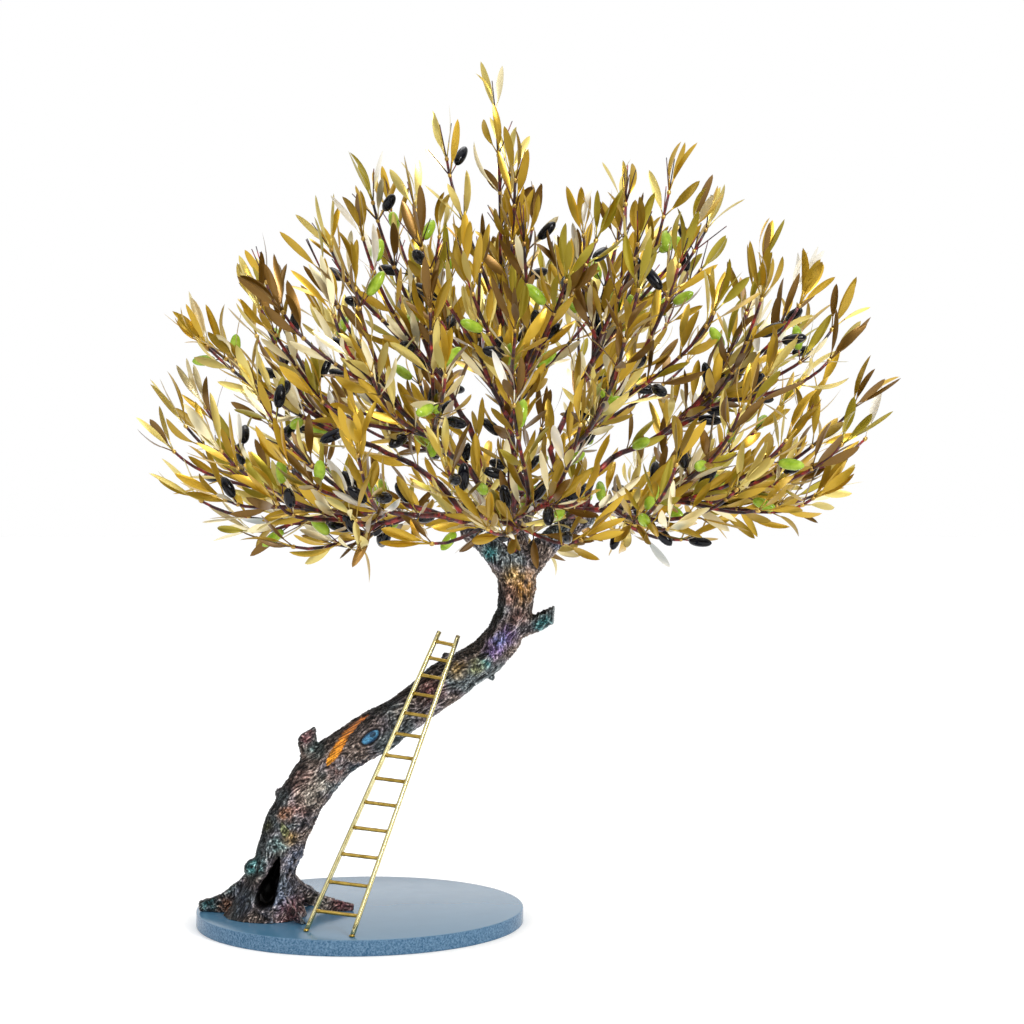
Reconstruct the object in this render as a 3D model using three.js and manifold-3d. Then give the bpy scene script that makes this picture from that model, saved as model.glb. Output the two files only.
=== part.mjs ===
// An olive tree sculpture: a leaning cast trunk on a round steel plate, a crown of wire boughs with
// masses of sheet-metal foliage, and a small tapered ladder against the trunk.
// Millimetres, +Z up. The origin is the centre of the plate's underside; +X is the way the trunk leans.
import * as THREE from "three";
import { mergeVertices } from "three/addons/utils/BufferGeometryUtils.js";
import Module from "manifold-3d";

const wasm = await Module();
wasm.setup();

// ---- Driving dimensions ----
const GAP = 0.3; // clearance that touching pieces keep
const CLEARANCE = 1.5 * GAP; // how much a finished piece is grown by before later ones are cut by it

const PLATE_RADIUS = 130;
const PLATE_THICKNESS = 12;
const PLATE_CHAMFER = 0.8;
const GROUND = PLATE_THICKNESS; // height of the plate's top face

const TRUNK_SIDES = 12;
const TRUNK_STEPS = 18;
const TRUNK_BEND = 18.6; // radius above the foot, where the trunk bends over
const TRUNK_WAIST = 17; // radius along the leaning stretch
const TRUNK_NECK = 15; // radius under the fork
const TRUNK_FOOT = 37; // radius where the trunk spreads onto the plate
const FOOT_HEIGHT = 38; // height over which the foot spreads
const BARK_SWELL = 1.1; // height of the trunk's broad lumps
const TRUNK_FINENESS = 0.5; // how far the joined trunk may be off where needless edges are dropped

const ROOT_RADIUS = 11; // where a root leaves the foot
const STUB_SPREAD = 1.25; // how much wider a cut branch is at its foot than at its end
const KNUCKLE_SWELL = 1.15; // how much wider a limb's round end is than the limb

const CROWN_CENTRE = new THREE.Vector3(122, 0, 313);
const CROWN_DEPTH = 0.84; // front-to-back share of the crown's reach
const CELL_GAP = 5; // least clearance between two masses

const BOUGH_BASE = 2.3; // radius of a bough where it leaves its limb
const BOUGH_END = 1.6; // radius where it enters its mass
const BOUGH_SIDES = 5;
const BOUGH_STEPS = 3;

const RAIL_RADIUS = 1.5;
const RUNG_RADIUS = 1.25;
const RUNG_COUNT = 13;
const RAIL_SIDES = 8;
const RUNG_SIDES = 6;
const FIRST_RUNG = 0.0645; // share of the rail's length below the first rung
const FIRST_SPACING = 0.0933; // share of the rail's length between the lowest two rungs
const SPACING_LOSS = 0.0033; // how much less each spacing is than the one below it

// ---- Materials ----
const finish = (color, roughness, metalness) =>
  new THREE.MeshStandardMaterial({ color, roughness, metalness });
const STEEL = finish(0x2c3a4a, 0.4, 0.6);
const BRONZE = finish(0x57453d, 0.55, 0.7);
const WIRE = finish(0x3d1d1c, 0.4, 0.4);
const LEAF = finish(0x9a7d2c, 0.4, 0.6);
const BRASS = finish(0xc2a13f, 0.3, 0.9);

// ---- Helpers ----
const v3 = (x, y, z) => new THREE.Vector3(x, y, z);
const lerp = THREE.MathUtils.lerp;
const smooth = (x, low, high) => THREE.MathUtils.smoothstep(x, low, high);
const radians = THREE.MathUtils.degToRad;

// A closed geometry as a solid that can be joined and cut.
function solidOf(geometry) {
  const bare = geometry.index ? geometry.toNonIndexed() : geometry.clone();
  for (const name of ["normal", "uv"]) bare.deleteAttribute(name);
  const merged = mergeVertices(bare, 1e-4);
  return new wasm.Manifold(
    new wasm.Mesh({
      numProp: 3,
      vertProperties: new Float32Array(merged.attributes.position.array),
      triVerts: new Uint32Array(merged.index.array),
    }),
  );
}

function geometryOf(solid) {
  const mesh = solid.getMesh();
  const geometry = new THREE.BufferGeometry();
  geometry.setAttribute("position", new THREE.BufferAttribute(mesh.vertProperties, 3));
  geometry.setIndex(new THREE.BufferAttribute(mesh.triVerts, 1));
  geometry.computeVertexNormals();
  return geometry;
}

// Moves every vertex of a geometry to place(vertex).
function reshape(geometry, place) {
  const position = geometry.attributes.position;
  const at = new THREE.Vector3();
  for (let i = 0; i < position.count; i++) {
    at.fromBufferAttribute(position, i);
    const to = place(at);
    position.setXYZ(i, to.x, to.y, to.z);
  }
  return geometry;
}

// A capped cylinder bent along a curve. radiusAt(share, angle) is its radius at a share of the length.
function limb(curve, radiusAt, sides, steps) {
  const frames = curve.computeFrenetFrames(steps, false);
  return reshape(new THREE.CylinderGeometry(1, 1, 1, sides, steps), (vertex) => {
    const share = 0.5 - vertex.y;
    const ring = Math.round(share * steps);
    const across = Math.hypot(vertex.x, vertex.z);
    const turn = Math.round((Math.atan2(vertex.z, vertex.x) / (2 * Math.PI)) * sides);
    const angle = (turn / sides) * 2 * Math.PI;
    const radius = across < 0.5 ? 0 : radiusAt(share, angle);
    return curve
      .getPointAt(share)
      .addScaledVector(frames.normals[ring], radius * Math.cos(angle))
      .addScaledVector(frames.binormals[ring], radius * Math.sin(angle));
  });
}

function taper(from, to) {
  return (share) => lerp(from, to, share);
}

const curveOf = (points) => new THREE.CatmullRomCurve3(points, false, "centripetal");

// A ball, stretched by size along each axis, turned about +Y and moved.
function lump(centre, size, turnDegrees = 0, detail = 2) {
  return new THREE.IcosahedronGeometry(1, detail)
    .scale(size.x, size.y, size.z)
    .rotateY(radians(turnDegrees))
    .translate(centre.x, centre.y, centre.z);
}

const group = new THREE.Group();

function node(name, solid, material) {
  const mesh = new THREE.Mesh(geometryOf(solid), material);
  mesh.name = name;
  group.add(mesh);
}

// Everything below a height, for cutting what stands on the plate.
function belowGround(height) {
  const side = 4 * PLATE_RADIUS;
  return solidOf(new THREE.BoxGeometry(side, side, side).translate(0, 0, height - side / 2));
}

// ---- Plate ----
function plate() {
  const r = PLATE_RADIUS;
  const c = PLATE_CHAMFER;
  const h = PLATE_THICKNESS;
  const profile = [
    [0, 0],
    [r - c, 0],
    [r, c],
    [r, h - c],
    [r - c, h],
    [0, h],
  ].map(([x, y]) => new THREE.Vector2(x, y));
  return solidOf(new THREE.LatheGeometry(profile, 48).rotateX(Math.PI / 2));
}

// ---- Trunk ----
// The trunk's centreline: an upright foot, a long lean at about 35 degrees, and an upright neck.
const TRUNK_LINE = curveOf([
  v3(-70, -38, 4),
  v3(-65, -36, 50),
  v3(-52, -32, 88),
  v3(-23, -26, 129),
  v3(28, -18, 163),
  v3(69, -11, 192),
  v3(107, -6, 217),
  v3(123, -3, 250),
  v3(124, 0, 288),
]);

function trunkRadius(share, angle) {
  const height = TRUNK_LINE.getPointAt(share).z - GROUND;
  const spread = (TRUNK_FOOT - TRUNK_BEND) * Math.pow(1 - smooth(height, -8, FOOT_HEIGHT), 2);
  const bent = lerp(TRUNK_BEND, TRUNK_WAIST, smooth(share, 0.36, 0.52));
  const body = lerp(bent, TRUNK_NECK, smooth(share, 0.6, 0.9));
  const lumps =
    Math.sin(3 * angle + 17 * share) + 0.8 * Math.sin(2 * angle - 41 * share) + 0.6 * Math.sin(29 * share);
  return body + spread + BARK_SWELL * lumps;
}

// Each root leaves the foot, bends down and creeps over the plate to its tip: [x, y, radius there].
const FOOT = v3(-70, -38, GROUND);
const ROOTS = [
  [-125, -20, 7],
  [-92, -56, 5],
  [-63, -72, 4.5],
  [-38, -74, 4.5],
  [-4, -19, 4.5],
  [-38, 6, 4],
  [-98, 6, 4],
];
// A root's height above the plate at shares of the way to its tip.
const ROOT_FALL = [
  [0.05, 38],
  [0.3, 21],
  [0.62, 8],
  [1, 1.5],
];

function root([x, y, radius]) {
  const tip = v3(x, y, GROUND);
  const at = ([share, height]) => FOOT.clone().lerp(tip, share).setZ(GROUND + height);
  return limb(curveOf(ROOT_FALL.map(at)), taper(ROOT_RADIUS, radius), 6, 3);
}

// The two cut branches: short tapering stubs whose ends are slanting cuts that face along cutNormal.
const STUBS = [
  { from: v3(-37, -27, 122), to: v3(-41, -28, 160), radius: 7.5, cutNormal: v3(-0.5, 0, 0.85) },
  { from: v3(122, -4, 231), to: v3(159, -8, 247), radius: 7, cutNormal: v3(1, -0.1, -0.05) },
];

function stub({ from, to, radius, cutNormal }) {
  const body = solidOf(limb(curveOf([from, to]), taper(radius * STUB_SPREAD, radius), 8, 2));
  const side = 6 * radius;
  const box = new THREE.BoxGeometry(side, side, side).translate(0, 0, side / 2);
  box.applyQuaternion(new THREE.Quaternion().setFromUnitVectors(v3(0, 0, 1), cutNormal.normalize()));
  const inward = from.clone().sub(to).setLength(radius * 0.7);
  box.translate(to.x + inward.x, to.y + inward.y, to.z + inward.z);
  return body.subtract(solidOf(box));
}

// Knots: swellings where twigs were cut close, as [share of the trunk's length, angle round the trunk
// (0 back, 90 above, 180 front, 270 below the lean), radius, how far out the centre stands].
const KNOTS = [
  [0.115, 90, 8.2, 0.8],
  [0.162, 270, 6, 1],
  [0.265, 90, 5.5, 1],
  [0.47, 180, 6, -3],
  [0.48, 90, 4, -1],
  [0.52, 270, 4, 0],
  [0.7, 90, 5, 1],
  [0.71, 190, 5, -2],
  [0.76, 270, 4, 0],
  [0.3, 20, 6, -2],
];

function knot([share, angleDegrees, radius, lift]) {
  const along = TRUNK_LINE.getTangentAt(share);
  const out = v3(0, 0, 1).cross(along).normalize().applyAxisAngle(along, radians(angleDegrees));
  const centre = TRUNK_LINE.getPointAt(share).addScaledVector(out, TRUNK_WAIST - 2 + lift);
  return lump(centre, v3(radius, radius, radius), 0, 1);
}

// The dark hollow between the front roots, wider at its foot: two lumps cut out of the wood.
const HOLLOW = [
  { at: v3(-69, -72, GROUND + 24), size: v3(7.5, 24, 12), turn: 8 },
  { at: v3(-63.5, -66, GROUND + 36), size: v3(4.5, 20, 12), turn: 18 },
];

function hollow() {
  return wasm.Manifold.union(HOLLOW.map(({ at, size, turn }) => solidOf(lump(at, size, turn, 1))));
}

// The trunk's main body with its rounded top; margin makes it thicker all over.
function trunkWood(margin) {
  const radiusAt = (share, angle) => trunkRadius(share, angle) + margin;
  const ball = TRUNK_NECK + margin;
  return solidOf(limb(TRUNK_LINE, radiusAt, TRUNK_SIDES, TRUNK_STEPS)).add(
    solidOf(lump(TRUNK_LINE.getPointAt(1), v3(ball, ball, ball), 0, 1)),
  );
}

function trunk() {
  let body = trunkWood(0);
  for (const one of ROOTS) body = body.add(solidOf(root(one)));
  for (const one of KNOTS) body = body.add(solidOf(knot(one)));
  for (const one of STUBS) body = body.add(stub(one));
  return body.subtract(hollow()).simplify(TRUNK_FINENESS).subtract(belowGround(GROUND));
}

// ---- Limbs ----
// Each limb runs from the trunk's fork to the round knuckle where its boughs spread.
const LIMBS = [
  { name: "limb_left", line: [v3(117, -1, 282), v3(105, -7, 299), v3(90, -12, 312)], from: 11.5, to: 9 },
  { name: "limb_right", line: [v3(130, 0, 280), v3(151, 0, 304), v3(179, 0, 323)], from: 12, to: 7.5 },
  { name: "limb_back", line: [v3(124, 6, 284), v3(128, 28, 316), v3(138, 50, 340)], from: 9, to: 6.5 },
];
const FORK_TOP = { at: v3(122, -8, 290), radius: TRUNK_NECK };
const KNUCKLES = [FORK_TOP, ...LIMBS.map(({ line, to }) => ({ at: line[2], radius: KNUCKLE_SWELL * to }))];

// What stands in the way of the pieces still to come: each finished body, grown by a little over GAP.
const clearances = [];

const cutClear = (solid) => {
  const box = solid.boundingBox();
  const meets = (other) => {
    const o = other.boundingBox();
    return [0, 1, 2].every((k) => box.min[k] < o.max[k] && o.min[k] < box.max[k]);
  };
  const near = clearances.filter(meets);
  return near.length ? largest(solid.subtract(wasm.Manifold.union(near))) : solid;
};
const largest = (solid) => solid.decompose().sort((a, b) => b.volume() - a.volume())[0];

// A limb with a round knuckle at its end; margin makes it thicker all over.
function limbWood({ line, from, to }, margin) {
  const end = line[line.length - 1];
  const ball = KNUCKLE_SWELL * to + margin;
  return solidOf(limb(curveOf(line), taper(from + margin, to + margin), 8, 3)).add(
    solidOf(lump(end, v3(ball, ball, ball), 0, 1)),
  );
}

function limbs() {
  for (const one of LIMBS) {
    node(one.name, cutClear(limbWood(one, 0)), BRONZE);
    clearances.push(limbWood(one, CLEARANCE));
  }
}

// ---- Crown ----
// The masses stand in rings round the crown's centre. Each has an azimuth, an elevation above the
// horizon and a reach, and each ring has the half widths of its masses across and up and how finely
// they are faceted.
const RINGS = [
  {
    name: "low",
    across: 104,
    up: 54,
    detail: 2,
    aims: [
      [0, 17, 296],
      [45, 12, 300],
      [90, 9, 305],
      [135, 9, 308],
      [180, 13, 310],
      [225, 8, 302],
      [270, 9, 294],
      [315, 12, 288],
    ],
  },
  {
    name: "mid",
    across: 110,
    up: 66,
    detail: 3,
    aims: [
      [0, 36, 342],
      [60, 36, 330],
      [120, 35, 322],
      [180, 33, 336],
      [240, 35, 322],
      [300, 36, 334],
    ],
  },
  {
    name: "high",
    across: 86,
    up: 62,
    detail: 3,
    aims: [
      [0, 65, 334],
      [90, 57, 286],
      [180, 67, 326],
      [270, 54, 272],
    ],
  },
  { name: "top", across: 46, up: 46, detail: 3, aims: [[180, 87, 374]] },
];
const MASS_START = 0.3; // share of a mass's reach at which it begins
const RAGGEDNESS = 0.07; // how strongly a mass's surface swells and sinks

function direction(azimuthDegrees, elevationDegrees) {
  const a = radians(azimuthDegrees);
  const e = radians(elevationDegrees);
  return v3(Math.cos(a) * Math.cos(e), Math.sin(a) * Math.cos(e), Math.sin(e));
}

const MASSES = RINGS.flatMap(({ name, across, up, detail, aims }) =>
  aims.map(([azimuth, elevation, reach], i) => {
    const aim = direction(azimuth, elevation);
    const number = aims.length > 1 ? `${name}_${i + 1}` : name;
    return {
      name: `foliage_${number}`,
      bough: `bough_${number}`,
      aim,
      reach: reach * Math.hypot(aim.x, aim.y * CROWN_DEPTH, aim.z),
      across,
      up,
      detail,
      phase: azimuth + 3 * elevation,
    };
  }),
);

// An uneven teardrop with its narrow end towards the crown's centre. Each of its points is drawn in
// where it would pass a plane half way to the next mass, so that two masses never meet.
function foliage(mass) {
  const { aim, reach, across, up, detail, phase } = mass;
  const side = aim.z > 0.99 ? v3(1, 0, 0) : v3(-aim.y, aim.x, 0).normalize();
  const over = aim.clone().cross(side);
  const start = MASS_START * reach;
  const half = (reach - start) / 2;
  const middle = aim.clone().multiplyScalar(start + half);
  const others = MASSES.filter((other) => other !== mass);
  const walls = others.map((other) => aim.clone().sub(other.aim).normalize());
  return reshape(new THREE.IcosahedronGeometry(1, detail), (u) => {
    const waves = Math.sin(7 * u.y + phase) + Math.sin(8 * u.z - 2 * phase) + Math.sin(9 * u.x + phase);
    const width = lerp(0.25, 1.1, smooth(u.x, -1, 0.4)) * (1 + RAGGEDNESS * waves);
    const out = aim
      .clone()
      .multiplyScalar(half * u.x)
      .addScaledVector(side, across * u.y * width)
      .addScaledVector(over, up * u.z * width);
    let keep = 1;
    for (const wall of walls) {
      const room = middle.dot(wall) - CELL_GAP / 2;
      const used = -out.dot(wall);
      if (used * keep > room) keep = room / used;
    }
    return out.multiplyScalar(keep).add(middle).add(CROWN_CENTRE);
  });
}

// A bough leaves the nearest knuckle, bends towards its mass and ends where it meets the mass.
function boughLine({ aim, reach }) {
  const end = CROWN_CENTRE.clone().addScaledVector(aim, MASS_START * reach - 2 * GAP);
  const apart = ({ at }) => Math.hypot(at.x - end.x, at.y - end.y);
  const near = [...KNUCKLES].sort((a, b) => apart(a) - apart(b))[0];
  const span = end.distanceTo(near.at);
  const bend = end.clone().addScaledVector(aim, -0.4 * span);
  const leave = bend.clone().sub(near.at).setLength(near.radius - 1);
  return curveOf([near.at.clone().add(leave), bend, end]);
}

function boughWood(mass, margin) {
  const radiusAt = taper(BOUGH_BASE + margin, BOUGH_END + margin);
  return solidOf(limb(boughLine(mass), radiusAt, BOUGH_SIDES, BOUGH_STEPS));
}

function crown() {
  for (const mass of MASSES) {
    node(mass.bough, cutClear(boughWood(mass, 0)), WIRE);
    clearances.push(boughWood(mass, CLEARANCE));
    node(mass.name, solidOf(foliage(mass)), LEAF);
  }
}

// ---- Ladder ----
// Two rails lean on the trunk and come together towards the top.
const RAILS = [
  { name: "ladder_rail_left", foot: v3(-33, -97, GROUND), top: v3(63.4, -12.5, 232) },
  { name: "ladder_rail_right", foot: v3(3, -117, GROUND), top: v3(78.5, -18.5, 229) },
];

function rod(from, to, radius, sides) {
  const length = from.distanceTo(to);
  const turn = new THREE.Quaternion().setFromUnitVectors(v3(0, 1, 0), to.clone().sub(from).normalize());
  const middle = from.clone().lerp(to, 0.5);
  return new THREE.CylinderGeometry(radius, radius, length, sides)
    .applyQuaternion(turn)
    .translate(middle.x, middle.y, middle.z);
}

function ladder() {
  for (const { name, foot, top } of RAILS) {
    const below = foot.clone().lerp(top, -0.02);
    const rail = solidOf(rod(below, top, RAIL_RADIUS, RAIL_SIDES)).subtract(belowGround(GROUND + GAP));
    node(name, rail, BRASS);
  }
  let share = FIRST_RUNG;
  let spacing = FIRST_SPACING;
  for (let i = 1; i <= RUNG_COUNT; i++) {
    const [left, right] = RAILS.map(({ foot, top }) => foot.clone().lerp(top, share));
    const inset = (RAIL_RADIUS + GAP) / left.distanceTo(right);
    const ends = [left.clone().lerp(right, inset), right.clone().lerp(left, inset)];
    const rung = rod(...ends, RUNG_RADIUS, RUNG_SIDES);
    node(`ladder_rung_${String(i).padStart(2, "0")}`, solidOf(rung), BRASS);
    share += spacing;
    spacing -= SPACING_LOSS;
  }
}

node("base_plate", plate(), STEEL);
node("trunk", trunk(), BRONZE);
clearances.push(trunkWood(CLEARANCE));
limbs();
crown();
ladder();

export default group;
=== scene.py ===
"""Olive tree sculpture: patinated bronze trunk, wire boughs, sheet-brass leaves, a brass ladder and a round
steel plate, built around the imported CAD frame. Metres, +Z up, the camera looks along +Y."""

import math
import random

import bmesh
import bpy
import numpy as np
from mathutils import Matrix, Quaternion, Vector, noise
from mathutils.bvhtree import BVHTree
from mathutils.kdtree import KDTree


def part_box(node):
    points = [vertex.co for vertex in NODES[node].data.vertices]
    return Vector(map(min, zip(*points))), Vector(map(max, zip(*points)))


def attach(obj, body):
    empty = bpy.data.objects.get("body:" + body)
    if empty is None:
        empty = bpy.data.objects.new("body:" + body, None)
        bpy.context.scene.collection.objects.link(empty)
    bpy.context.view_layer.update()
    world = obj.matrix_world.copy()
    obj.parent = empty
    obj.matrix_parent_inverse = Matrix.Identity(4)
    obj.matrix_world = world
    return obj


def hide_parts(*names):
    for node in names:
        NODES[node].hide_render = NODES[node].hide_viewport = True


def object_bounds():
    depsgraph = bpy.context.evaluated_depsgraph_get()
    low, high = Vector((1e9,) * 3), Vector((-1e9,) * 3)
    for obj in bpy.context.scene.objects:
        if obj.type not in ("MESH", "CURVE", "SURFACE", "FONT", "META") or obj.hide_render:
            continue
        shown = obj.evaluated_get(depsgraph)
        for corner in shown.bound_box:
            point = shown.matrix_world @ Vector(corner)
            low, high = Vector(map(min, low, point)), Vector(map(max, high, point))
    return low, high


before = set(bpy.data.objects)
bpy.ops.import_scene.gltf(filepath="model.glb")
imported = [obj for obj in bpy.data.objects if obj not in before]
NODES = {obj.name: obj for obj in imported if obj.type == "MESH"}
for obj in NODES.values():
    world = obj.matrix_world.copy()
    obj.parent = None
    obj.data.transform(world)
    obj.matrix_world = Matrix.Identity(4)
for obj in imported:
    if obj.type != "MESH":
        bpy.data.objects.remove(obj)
CAD_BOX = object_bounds()
MM = 0.001
UP = Vector((0, 0, 1))


# ---- Camera, light and floor ----
CAMERA_DISTANCE = 1.6  # from the plane through the plate's centre
CAMERA_ASIDE = 0.121  # to the right of the plate's centre
VIEW_WIDTH = 0.8192  # what the view spans at that plane
EYE_HEIGHT = 0.327
SENSOR = 36.0


def make_camera():
    data = bpy.data.cameras.new("camera")
    data.sensor_width = SENSOR
    data.lens = SENSOR * CAMERA_DISTANCE / VIEW_WIDTH
    data.clip_start, data.clip_end = 0.05, 60
    camera = bpy.data.objects.new("camera", data)
    bpy.context.scene.collection.objects.link(camera)
    camera.location = (CAMERA_ASIDE, -CAMERA_DISTANCE, EYE_HEIGHT)
    camera.rotation_euler = (math.radians(90), 0, 0)
    bpy.context.scene.camera = camera


def soft_box(name, location, target, size, power, colour=(1, 1, 1), only_mirrored=False):
    """A rectangular light. only_mirrored makes one that shines in reflections alone."""
    data = bpy.data.lights.new(name, "AREA")
    data.shape = "RECTANGLE"
    data.size, data.size_y = size
    data.energy = power
    data.color = colour
    light = bpy.data.objects.new(name, data)
    bpy.context.scene.collection.objects.link(light)
    light.location = location
    aim = Vector(target) - Vector(location)
    light.rotation_euler = aim.to_track_quat("-Z", "Y").to_euler()
    light.visible_diffuse = not only_mirrored


# How bright the room on the camera's side is in what the metal mirrors, by height: 0 straight down, 1
# straight up. Behind the tree the metal mirrors a white backdrop.
MIRRORED = [(0.0, 0.9), (0.4, 0.6), (0.5, 0.14), (0.66, 0.26), (0.84, 1.2), (1.0, 1.7)]


def make_studio():
    """A white surround, whose near side the metal mirrors as a darker room, and soft boxes."""
    scene = bpy.context.scene
    scene.view_settings.view_transform = "Standard"
    world = bpy.data.worlds.new("studio")
    scene.world = world
    world.use_nodes = True
    nodes, links = world.node_tree.nodes, world.node_tree.links
    nodes.clear()
    white = nodes.new("ShaderNodeBackground")
    white.inputs["Color"].default_value = (1, 1, 1, 1)
    white.inputs["Strength"].default_value = 1.0
    room = nodes.new("ShaderNodeBackground")
    room.inputs["Strength"].default_value = 1.0
    way = nodes.new("ShaderNodeTexCoord")
    split = nodes.new("ShaderNodeSeparateXYZ")
    span = nodes.new("ShaderNodeMapRange")
    span.inputs["From Min"].default_value = -1
    ramp = nodes.new("ShaderNodeValToRGB")
    while len(ramp.color_ramp.elements) < len(MIRRORED):
        ramp.color_ramp.elements.new(0.5)
    for element, (height, level) in zip(ramp.color_ramp.elements, MIRRORED):
        element.position = height
        element.color = (level, level, level, 1)
    behind = nodes.new("ShaderNodeMapRange")
    behind.interpolation_type = "SMOOTHSTEP"
    behind.inputs["From Min"].default_value = 0.0
    behind.inputs["From Max"].default_value = 0.6
    backdrop = nodes.new("ShaderNodeMix")
    backdrop.data_type = "RGBA"
    backdrop.inputs[7].default_value = (1, 1, 1, 1)
    path = nodes.new("ShaderNodeLightPath")
    mix = nodes.new("ShaderNodeMixShader")
    out = nodes.new("ShaderNodeOutputWorld")
    links.new(way.outputs["Generated"], split.inputs[0])
    links.new(split.outputs["Z"], span.inputs["Value"])
    links.new(span.outputs["Result"], ramp.inputs["Fac"])
    links.new(split.outputs["Y"], behind.inputs["Value"])
    links.new(behind.outputs["Result"], backdrop.inputs[0])
    links.new(ramp.outputs["Color"], backdrop.inputs[6])
    links.new(backdrop.outputs[2], room.inputs["Color"])
    links.new(path.outputs["Is Glossy Ray"], mix.inputs["Fac"])
    links.new(white.outputs["Background"], mix.inputs[1])
    links.new(room.outputs["Background"], mix.inputs[2])
    links.new(mix.outputs["Shader"], out.inputs["Surface"])

    crown = (0.12, 0, 0.4)
    soft_box("key", (1.3, -1.6, 1.2), crown, (0.4, 0.5), 22, (1, 0.98, 0.95))
    soft_box("gloss", (0.8, -1.3, 1.0), crown, (0.6, 0.7), 10, (1, 1, 1), only_mirrored=True)
    soft_box("fill", (-1.7, -0.9, 1.0), crown, (0.4, 0.9), 3.5, (0.95, 0.98, 1))
    soft_box("top", (0.1, 0.4, 1.9), crown, (1.0, 1.0), 12)


def make_floor():
    mesh = bpy.data.meshes.new("floor")
    reach = 25.0
    corners = [(-reach, -reach, 0), (reach, -reach, 0), (reach, reach, 0), (-reach, reach, 0)]
    mesh.from_pydata(corners, [], [(0, 1, 2, 3)])
    floor = bpy.data.objects.new("floor", mesh)
    bpy.context.scene.collection.objects.link(floor)
    shader = new_material("floor_white")
    shader.inputs["Base Color"].default_value = (0.94, 0.94, 0.94, 1)
    shader.inputs["Roughness"].default_value = 0.9
    shader.inputs["Specular IOR Level"].default_value = 0.1
    shader.inputs["Emission Color"].default_value = (1, 1, 1, 1)
    shader.inputs["Emission Strength"].default_value = 0.08
    mesh.materials.append(bpy.data.materials["floor_white"])


# ---- Materials ----
def new_material(name):
    """A node material with that name. Returns its Principled shader."""
    material = bpy.data.materials.new(name)
    material.use_nodes = True
    return material.node_tree.nodes["Principled BSDF"]


class Shading:
    """Short ways to add nodes to one material."""

    def __init__(self, name):
        self.shader = new_material(name)
        self.material = bpy.data.materials[name]
        self.tree = self.material.node_tree
        self.place = self.node("ShaderNodeTexCoord").outputs["Object"]

    def node(self, kind, **values):
        node = self.tree.nodes.new(kind)
        for key, value in values.items():
            setattr(node, key, value)
        return node

    def link(self, a, b):
        self.tree.links.new(a, b)

    def set(self, **values):
        for key, value in values.items():
            self.shader.inputs[key.replace("_", " ")].default_value = value

    def noise(self, scale, detail=4.0, roughness=0.6, distortion=0.0):
        node = self.node("ShaderNodeTexNoise")
        node.inputs["Scale"].default_value = scale
        node.inputs["Detail"].default_value = detail
        node.inputs["Roughness"].default_value = roughness
        node.inputs["Distortion"].default_value = distortion
        self.link(self.place, node.inputs["Vector"])
        return node.outputs["Fac"]

    def ramp(self, value, stops):
        node = self.node("ShaderNodeValToRGB")
        ramp = node.color_ramp
        while len(ramp.elements) < len(stops):
            ramp.elements.new(0.5)
        for element, (position, colour) in zip(ramp.elements, stops):
            element.position = position
            element.color = (*colour, 1) if isinstance(colour, tuple) else (colour, colour, colour, 1)
        self.link(value, node.inputs["Fac"])
        return node.outputs["Color"]

    def range(self, value, low, high):
        node = self.node("ShaderNodeMapRange")
        node.inputs["To Min"].default_value = low
        node.inputs["To Max"].default_value = high
        self.link(value, node.inputs["Value"])
        return node.outputs["Result"]

    def mix(self, factor, a, b, blend="MIX"):
        node = self.node("ShaderNodeMix", data_type="RGBA", blend_type=blend)
        for socket, value in ((0, factor), (6, a), (7, b)):
            if isinstance(value, bpy.types.NodeSocket):
                self.link(value, node.inputs[socket])
            elif socket:
                node.inputs[socket].default_value = (*value, 1)
            else:
                node.inputs[socket].default_value = value
        return node.outputs[2]

    def bump(self, height, distance, strength=1.0):
        node = self.node("ShaderNodeBump")
        node.inputs["Distance"].default_value = distance
        node.inputs["Strength"].default_value = strength
        self.link(height, node.inputs["Height"])
        self.link(node.outputs["Normal"], self.shader.inputs["Normal"])


def bark_material():
    """Cast bronze: the colours on the mesh, with painted shade and highlights, come from the mesh; fine grain
    and sheen are added here.
    """
    if "patinated_bronze" in bpy.data.materials:
        return bpy.data.materials["patinated_bronze"]
    s = Shading("patinated_bronze")
    s.set(Metallic=0.65, Specular_IOR_Level=0.35)
    # This colour holds painted shade and painted highlights as well as the bronze's own tints.
    patina_and_painted_light = s.node("ShaderNodeAttribute", attribute_name="patina_and_painted_light").outputs["Color"]
    grain = s.noise(900, 4, 0.7, 0.6)
    shade = s.ramp(grain, [(0.36, 0.45), (0.52, 1.0), (0.66, 1.8)])
    s.link(s.mix(1.0, patina_and_painted_light, shade, "MULTIPLY"), s.shader.inputs["Base Color"])
    s.link(s.range(s.noise(500, 2), 0.2, 0.5), s.shader.inputs["Roughness"])
    s.bump(grain, 0.5 * MM, 0.9)
    return s.material


def leaf_material(name, colour):
    """Lacquered sheet brass in one heat tint, or in a pale tint that is painted highlight."""
    s = Shading(name)
    s.set(Base_Color=(*colour, 1), Metallic=0.72, Coat_Weight=0.35, Coat_Roughness=0.2)
    s.link(s.range(s.noise(60, 2), 0.24, 0.4), s.shader.inputs["Roughness"])
    return s.material


def wire_material():
    """Dark red-brown lacquer with worn red spots."""
    s = Shading("lacquered_wire")
    s.set(Metallic=0.0, Specular_IOR_Level=0.3, Coat_Weight=0.1, Coat_Roughness=0.15)
    spots = s.ramp(
        s.noise(110, 3),
        [(0.42, (0.012, 0.004, 0.006)), (0.56, (0.090, 0.012, 0.014)), (0.72, (0.45, 0.04, 0.03))],
    )
    s.link(spots, s.shader.inputs["Base Color"])
    s.link(s.range(s.noise(600, 2), 0.2, 0.45), s.shader.inputs["Roughness"])
    s.bump(s.noise(700, 2), 0.2 * MM, 0.6)
    return s.material


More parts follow.
